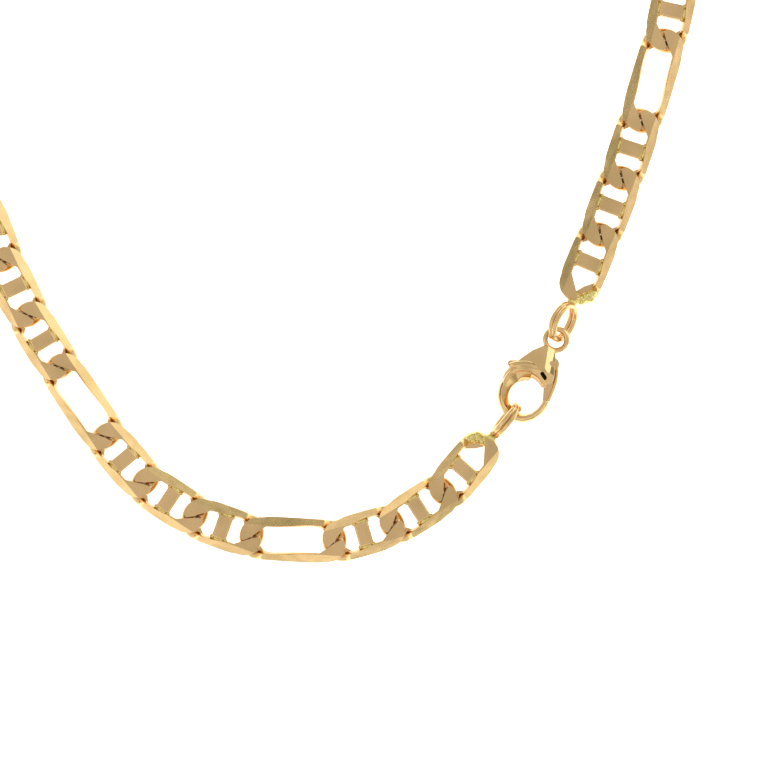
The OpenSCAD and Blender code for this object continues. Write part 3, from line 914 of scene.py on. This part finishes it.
# Outline of the lever's gate and its raised outer band (half width, height of the top)
GATE_OUTLINE = [
    (1.30, -2.60), (1.51, -3.00), (1.80, -3.75), (2.00, -4.50), (2.14, -5.40), (2.16, -6.50), (2.10, -7.70),
    (2.08, -8.30), (1.20, -8.30), (1.13, -7.71), (0.94, -7.10), (0.72, -6.43), (0.62, -5.45), (0.52, -4.30),
    (-0.20, -3.40),
]
GATE_BAND = [
    (0.94, -2.50, 0.10, 0.55), (1.22, -2.95, 0.19, 0.62), (1.52, -3.72, 0.23, 0.66),
    (1.74, -4.52, 0.24, 0.67), (1.89, -5.42, 0.24, 0.67), (1.91, -6.50, 0.24, 0.66),
    (1.85, -7.60, 0.23, 0.66), (1.78, -8.30, 0.23, 0.66),
]


def lever_shape():
    """The lever: a hub on the pin, an arm to the thumb nub, and the gate that closes the bow."""
    half = bpy.context.scene.clasp_settings.lever / MM / 2
    blade = shape_object(prism(GATE_OUTLINE, -half * 0.62, half * 0.62), "blade")
    bands = [band_object(GATE_BAND, face, 0.3) for face in (1, -1)]
    blade = new_object("blade", joined(blade, bands, "UNION"))
    sweep = disc("sweep", gate_radius(), THROUGH, 180)
    base = new_object("lever", joined(blade, [sweep], "INTERSECT"))
    hub = disc("hub", HUB_R, half, 48)
    end = beside(ARM_DIR, ARM_LENGTH, 0)
    arm = [beside(ARM_DIR, 0, ARM_HALF)] + arc(end, ARM_HALF, ARM_DIR + 90, ARM_DIR - 90, 12)
    arm = prism(arm + [beside(ARM_DIR, 0, -ARM_HALF)], -half, half)
    bmesh.ops.recalc_face_normals(arm, faces=arm.faces)
    rim = [e for e in arm.edges if level(e)]
    bmesh.ops.bevel(arm, geom=rim, offset=0.22, segments=4, profile=0.5, affect="EDGES")
    whole = new_object("lever", joined(base, [hub, shape_object(arm, "arm")], "UNION"))
    return joined(whole, [disc("bore", BORE_R, THROUGH, 32)], "DIFFERENCE")


def clasp_body_shape():
    """The shield with its bands, its opening, its window and the slot that the lever moves in."""
    half_slot = bpy.context.scene.clasp_settings.lever / MM / 2 + PLAY
    far, arm_room = 2 * ARM_LENGTH + 0.1, ARM_HALF + PLAY
    bands = [band_object(rows, face) for rows in (SHOULDER_BAND, CRESCENT_BAND) for face in (1, -1)]
    shield = new_object("shield", joined(shape_object(shield_shape(), "shield"), bands, "UNION"))
    # the slot lies round the hub, round the arm's swing and round the gate's swing
    arm_slot = [PIVOT, beside(ARM_DIR, 0, arm_room), beside(ARM_DIR, far, arm_room),
                beside(172, far, -arm_room), beside(172, 0, -arm_room)]
    gate_slot = [PIVOT, beside(251, 0.6, -HUB_R), beside(251, far, -HUB_R), beside(300, far, 0),
                 beside(5, far, 0)]
    rooms = [shape_object(flare_shape(), "flare"), disc("slot_hub", HUB_ROOM, half_slot, 48)]
    rooms += [shape_object(prism(slot, -half_slot, half_slot), "slot") for slot in (arm_slot, gate_slot)]
    # the window is cut a little into the slot's far wall too
    window = [WINDOW_AT + turned(v, WINDOW_TURN) for side in (1, -1)
              for v in arc(Vector((side * WINDOW_HALF, 0)), WINDOW_R, -90 * side, 180 - 90 * side, 8)]
    rooms.append(shape_object(prism(window, -half_slot - WINDOW_DEEPER, THROUGH), "window"))
    return joined(shield, rooms, "DIFFERENCE")


# Materials


def gold_material(name, roughness, grain_mm, grain_depth_mm, swell_mm):
    """14 karat yellow gold, cast and soldered. It mirrors the light in its own yellow, with dull patches
    where the shine has gone. Solder is paler and greener, and painted shade darkens the clasp's window."""
    found = bpy.data.materials.get(name)
    if found:
        return found
    finish = bpy.context.scene.finish_settings
    wear_mm, ripple_mm = 4.5, 2.2
    material = bpy.data.materials.new(name)
    material.use_nodes = True
    tree = material.node_tree
    tree.nodes.clear()
    where = add_node(tree, "ShaderNodeTexCoord")
    grain = add_node(tree, "ShaderNodeTexNoise", None, {
        "Vector": where.outputs["Object"], "Scale": 1 / (grain_mm * MM), "Detail": 2.0, "Roughness": 0.5})
    wear, ripple = (
        add_node(tree, "ShaderNodeTexNoise", None, {
            "Vector": where.outputs["Object"], "Scale": 1 / (mm * MM), "Detail": 1.0})
        for mm in (wear_mm, ripple_mm))
    worn = add_node(tree, "ShaderNodeMapRange", None, {
        "Value": wear.outputs[0], "From Min": 0.42, "From Max": 0.66, "To Min": 0.0, "To Max": 0.32})
    # the last mix paints shade into the clasp's window
    ran, dark = (add_node(tree, "ShaderNodeAttribute", {"attribute_name": key})
                 for key in ("solder", "painted_window_shade"))
    color = (*finish.gold, 1.0)
    for share, other in ((worn.outputs[0], finish.dulled), (ran.outputs["Fac"], finish.solder),
                         (dark.outputs["Fac"], finish.painted_window_shade)):
        color = add_node(tree, "ShaderNodeMix", {"data_type": "RGBA"}, {
            "Factor": share, "A": color, "B": (*other, 1.0)}).outputs["Result"]
    rough = add_node(tree, "ShaderNodeMapRange", None, {
        "Value": grain.outputs[0], "From Min": 0.3, "From Max": 0.7,
        "To Min": roughness * 0.85, "To Max": roughness * 1.15})
    fine = add_node(tree, "ShaderNodeBump", None, {
        "Height": grain.outputs[0], "Strength": 0.015, "Distance": grain_depth_mm * MM})
    bump = add_node(tree, "ShaderNodeBump", None, {
        "Height": ripple.outputs[0], "Strength": 1.0, "Distance": swell_mm * MM, "Normal": fine.outputs[0]})
    skin_of_gold = add_node(tree, "ShaderNodeBsdfPrincipled", None, {
        "Metallic": 1.0, "Base Color": color, "Roughness": rough.outputs[0], "Normal": bump.outputs[0]})
    add_node(tree, "ShaderNodeOutputMaterial", None, {"Surface": skin_of_gold.outputs[0]})
    return material


def ground_gold():
    """Ground on a wheel and lightly buffed: a soft, grainy sheen. The wheel's real lines are about 0.02 mm
    apart, too fine to show, so the grain is drawn seven times as coarse."""
    roughness = bpy.context.scene.finish_settings.ground_roughness
    return gold_material("ground_14k_yellow_gold", roughness, 0.14, 0.0003, 0.09)


def polished_gold():
    """Cast and polished: clear, slightly wavy reflections. The polish's own grain is drawn coarser too."""
    roughness = bpy.context.scene.finish_settings.polish_roughness
    return gold_material("polished_14k_yellow_gold", roughness, 0.5, 0.0004, 0.04)


# Operators


class NECKLACE_OT_links(bpy.types.Operator):
    """Lay the short and the long links along the necklace's route"""
    bl_idname = "necklace.links"
    bl_label = "Links"

    def execute(self, context):
        chain = context.scene.chain_settings
        route = chain_route()
        inner = range(1, route["count"] - 1)
        for node, barred, pitch in (("short_links", True, chain.short_pitch),
                                    ("long_links", False, chain.long_pitch)):
            places = [(route["middles"][i], route["dirs"][i]) for i in inner if (i % 4 != 3) == barred]
            link = link_shape(pitch / MM, barred)
            piece = link_run(node + "_gold", link, places, chain.thickness / 2, ground_gold())
            finish_piece(piece, NECKLACE, [node], ground_gold())
        return {"FINISHED"}


class NECKLACE_OT_end_links(bpy.types.Operator):
    """Make the two end links with their solder and double rings"""
    bl_idname = "necklace.end_links"
    bl_label = "End links and rings"

    def execute(self, context):
        rings = context.scene.ring_settings
        route = chain_route()
        for node, i, outer, at, turn, tilt in (
                ("end_link_left", 0, -1, route["left_ring"], LEFT_RING_DIR, rings.left_tilt),
                ("end_link_right", route["count"] - 1, 1, route["right_ring"], RIGHT_RING_DIR,
                 rings.right_tilt)):
            piece = new_object(node + "_gold", end_link_shape(i, route, outer, at, turn, tilt))
            finish_piece(piece, NECKLACE, [node], ground_gold())
        return {"FINISHED"}


class NECKLACE_OT_clasp(bpy.types.Operator):
    """Make the lobster clasp's body, its lever and its pin"""
    bl_idname = "necklace.clasp"
    bl_label = "Lobster clasp"

    def execute(self, context):
        clasp = context.scene.clasp_settings
        place = clasp_matrix(chain_route())
        bm = bmesh.new()
        bm.from_mesh(clasp_body_shape())
        layer = bm.verts.layers.float.new("painted_window_shade")
        # Painted shade: corners inside the window and low in the slot below it take the dark window colour
        for v in bm.verts:
            inside = (v.co.xy - WINDOW_AT).length < WINDOW_SHADE_R and v.co.z < WINDOW_SHADE_Z
            v[layer] = 1.0 if inside else 0.0
        copy_into(bm, torus((clasp.eye - clasp.eye_wire) / MM / 2, clasp.eye_wire / MM))
        bm.from_mesh(bow_shape())
        bmesh.ops.transform(bm, matrix=place, verts=bm.verts)
        body = new_object("clasp_body_gold", mesh_from(bm, "clasp_body"))
        finish_piece(body, NECKLACE, ["clasp_body"], polished_gold())
        bm = bmesh.new()
        bm.from_mesh(lever_shape())
        break_edges(bm, 0.06, 30, 2)
        bmesh.ops.transform(bm, matrix=place, verts=bm.verts)
        lever = new_object("clasp_lever_gold", mesh_from(bm, "clasp_lever"))
        finish_piece(lever, LEVER, ["clasp_lever"], polished_gold())
        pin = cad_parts["clasp_pin"]
        for slot in pin.material_slots:
            slot.material = polished_gold()
        return {"FINISHED"}


# Stretches of the light tent's walls, and of the ring of light above them: azimuth in degrees, brightness,
# and how green from grey to full
WALL_STRETCHES = [
    (0, 0.7, 0), (14, 0.78, 0), (31, 1.7, 0.3), (44, 1.25, 0.4), (56, 0.72, 0.8), (87, 0.36, 1),
    (108, 0.85, 0.3), (122, 1.35, 0), (139, 0.48, 0.8), (163, 0.34, 1), (188, 0.75, 0.4), (220, 1.2, 0),
    (250, 0.9, 0), (267, 0.92, 0), (285, 0.7, 0.3), (302, 0.45, 0.9), (319, 1.3, 0.3), (341, 0.72, 0),
]
UPPER_STRETCHES = [
    (0, 0.8, 0), (27, 1.05, 0), (60, 0.8, 0), (100, 0.7, 0), (122, 0.72, 0), (150, 0.95, 0), (195, 1.2, 0),
    (225, 0.95, 0), (250, 0.95, 0), (272, 1.2, 0), (294, 0.8, 0), (325, 1.1, 0), (345, 0.85, 0),
]
# A ramp holds no value over 1, so it is filled at half the brightness and doubled after it
BRIGHTEST = 2
OVERHEAD = (0.66, 0.65, 0.67, 1)
# Heights where the light changes, from a level ray 0 to a steep one 1, and the values before and after: walls
# to the ring above them, ring to overhead, and a dark seam at the walls' top, which draws thin dark lines on
# rounded metal
LIGHT_HEIGHTS = [(0.3, 0.62, 0.0, 1.0), (0.86, 0.95, 0.0, 1.0), (0.3, 0.38, 1.0, 0.3), (0.42, 0.5, 0.0, 0.7)]


def light_tent():
    """Soft light from all round, darker overhead, with brighter and darker stretches along the walls."""
    world = bpy.data.worlds.new("light_tent")
    bpy.context.scene.world = world
    world.use_nodes = True
    tree = world.node_tree
    tree.nodes.clear()
    where = add_node(tree, "ShaderNodeTexCoord")
    parts = add_node(tree, "ShaderNodeSeparateXYZ", None, {"Vector": where.outputs["Generated"]})
    angle = add_node(tree, "ShaderNodeMath", {"operation": "ARCTAN2"},
                     {0: parts.outputs["Y"], 1: parts.outputs["X"]})
    around = add_node(tree, "ShaderNodeMapRange", None, {
        "Value": angle.outputs[0], "From Min": -math.pi, "From Max": math.pi, "To Min": 0.0, "To Max": 1.0})
    lights = []
    for table in (WALL_STRETCHES, UPPER_STRETCHES):
        node = add_node(tree, "ShaderNodeValToRGB", None, {"Fac": around.outputs[0]})
        rows = sorted(((a + 180) % 360 / 360, b / BRIGHTEST, g) for a, b, g in table)
        while len(node.color_ramp.elements) < len(rows):
            node.color_ramp.elements.new(0.5)
        for element, (at, bright, green) in zip(node.color_ramp.elements, rows):
            element.position = at
            element.color = (bright * (1 - 0.12 * green), bright, bright * (1 - 0.14 * green), 1)
        lights.append(add_node(tree, "ShaderNodeVectorMath", {"operation": "SCALE"},
                               {0: node.outputs[0], "Scale": BRIGHTEST}).outputs[0])
    to_ring, to_overhead, below_seam, above_seam = (
        add_node(tree, "ShaderNodeMapRange", {"interpolation_type": "SMOOTHSTEP"}, {
            "Value": parts.outputs["Z"], "From Min": low, "From Max": high, "To Min": before, "To Max": after,
        }).outputs[0] for low, high, before, after in LIGHT_HEIGHTS)
    ringed = add_node(tree, "ShaderNodeMix", {"data_type": "RGBA"},
                      {"Factor": to_ring, "A": lights[0], "B": lights[1]})
    mixed = add_node(tree, "ShaderNodeMix", {"data_type": "RGBA"},
                     {"Factor": to_overhead, "A": ringed.outputs["Result"], "B": OVERHEAD})
    seam = add_node(tree, "ShaderNodeMath", {"operation": "ADD"}, {0: below_seam, 1: above_seam})
    glow = add_node(tree, "ShaderNodeBackground", None,
                    {"Color": mixed.outputs["Result"], "Strength": seam.outputs[0]})
    add_node(tree, "ShaderNodeOutputWorld", None, {"Surface": glow.outputs[0]})


# The floor's half size and how far it lies below the necklace, the soft box's size, power and place, and the
# camera's film
FLOOR_HALF, FLOOR_DROP = 0.9, 0.0001
SOFT_BOX_SIZE, SOFT_BOX_WATTS, SOFT_BOX_AT = 0.42, 0.3, (0.70, 0.36, 0.55)
FILM_MM, CHAIN_MIDDLE = 36, 0.0015


class NECKLACE_OT_stage(bpy.types.Operator):
    """Set the floor, the soft light and the camera straight above"""
    bl_idname = "necklace.stage"
    bl_label = "Stage"

    def execute(self, context):
        stage = context.scene.stage_settings
        context.scene.view_settings.view_transform = "Standard"
        bm = bmesh.new()
        bmesh.ops.create_grid(bm, x_segments=1, y_segments=1, size=FLOOR_HALF)
        floor = new_object("floor", mesh_from(bm, "floor", 1.0))
        floor.location = (0, 0, -FLOOR_DROP)
        paper = bpy.data.materials.new("white_paper_sweep")
        paper.use_nodes = True
        tree = paper.node_tree
        tree.nodes.clear()
        matt = add_node(tree, "ShaderNodeBsdfPrincipled", None, {
            "Base Color": (*stage.floor, 1.0), "Roughness": 0.9, "Emission Color": (1, 1, 1, 1),
            "Emission Strength": 1.0})
        add_node(tree, "ShaderNodeOutputMaterial", None, {"Surface": matt.outputs[0]})
        floor.data.materials.append(paper)
        light_tent()
        data = bpy.data.lights.new("soft_box", "AREA")
        data.shape = "DISK"
        data.size = SOFT_BOX_SIZE
        data.energy = SOFT_BOX_WATTS
        light = bpy.data.objects.new("soft_box", data)
        light.location = SOFT_BOX_AT
        aim = Vector((stage.center_x, stage.center_y, 0)) - light.location
        light.rotation_euler = aim.to_track_quat("-Z", "Y").to_euler()
        context.scene.collection.objects.link(light)
        camera_data = bpy.data.cameras.new("camera")
        camera_data.sensor_width = FILM_MM
        camera_data.lens = FILM_MM * stage.distance / stage.frame_width
        camera_data.clip_start = 0.01
        camera = bpy.data.objects.new("camera", camera_data)
        camera.location = (stage.center_x, stage.center_y, stage.distance + CHAIN_MIDDLE)
        context.scene.collection.objects.link(camera)
        context.scene.camera = camera
        return {"FINISHED"}


class NECKLACE_PT_panel(bpy.types.Panel):
    """Lists the sizes and the buttons that build the necklace"""
    bl_label = "Figaro chain necklace"
    bl_idname = "NECKLACE_PT_panel"
    bl_space_type = "VIEW_3D"
    bl_region_type = "UI"
    bl_category = "Necklace"

    def draw(self, context):
        for group, name in GROUPS:
            box = self.layout.box()
            settings = getattr(context.scene, name)
            for key in group.__annotations__:
                box.prop(settings, key)
        for operator in OPERATORS:
            self.layout.operator(operator.bl_idname)


GROUPS = (
    (ChainSettings, "chain_settings"), (RingSettings, "ring_settings"), (ClaspSettings, "clasp_settings"),
    (FinishSettings, "finish_settings"), (StageSettings, "stage_settings"),
)
OPERATORS = (NECKLACE_OT_links, NECKLACE_OT_end_links, NECKLACE_OT_clasp, NECKLACE_OT_stage)


def register():
    for group, name in GROUPS:
        bpy.utils.register_class(group)
        setattr(bpy.types.Scene, name, bpy.props.PointerProperty(type=group))
    for operator in OPERATORS:
        bpy.utils.register_class(operator)
    bpy.utils.register_class(NECKLACE_PT_panel)


def unregister():
    bpy.utils.unregister_class(NECKLACE_PT_panel)
    for operator in reversed(OPERATORS):
        bpy.utils.unregister_class(operator)
    for group, name in reversed(GROUPS):
        delattr(bpy.types.Scene, name)
        bpy.utils.unregister_class(group)


def main():
    register()
    bpy.ops.necklace.links()
    bpy.ops.necklace.end_links()
    bpy.ops.necklace.clasp()
    bpy.ops.necklace.stage()


if __name__ == "__main__":
    main()
